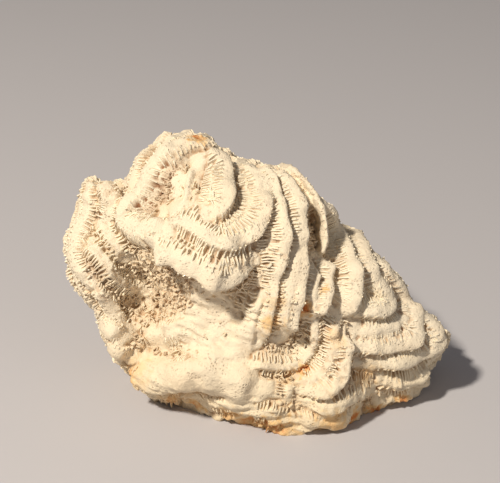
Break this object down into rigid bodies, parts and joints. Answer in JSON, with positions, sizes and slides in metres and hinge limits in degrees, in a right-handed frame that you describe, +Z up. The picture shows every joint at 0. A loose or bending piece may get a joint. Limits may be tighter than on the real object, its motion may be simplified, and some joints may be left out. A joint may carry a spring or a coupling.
{
  "type": "brain coral",
  "caption": "Dry stony lump of brain coral with thick winding ridges and a deep hollow in its face, cut off flat underneath so that it stands.",
  "frame": {"origin": "on the flat cut underneath, roughly below the middle of the lump", "axes": "+Z up from the flat cut, +X along the lump's length towards its low pointed end, -Y towards the ridged face"},
  "size_m": [0.0999, 0.0629, 0.0653],
  "materials": {
    "coral_stone": "dry, matt and porous, cream-white, with rust and brown stains in places"
  },
  "bodies": {
    "root": {"brain_coral": "coral_stone"}
  },
  "joints": []
}
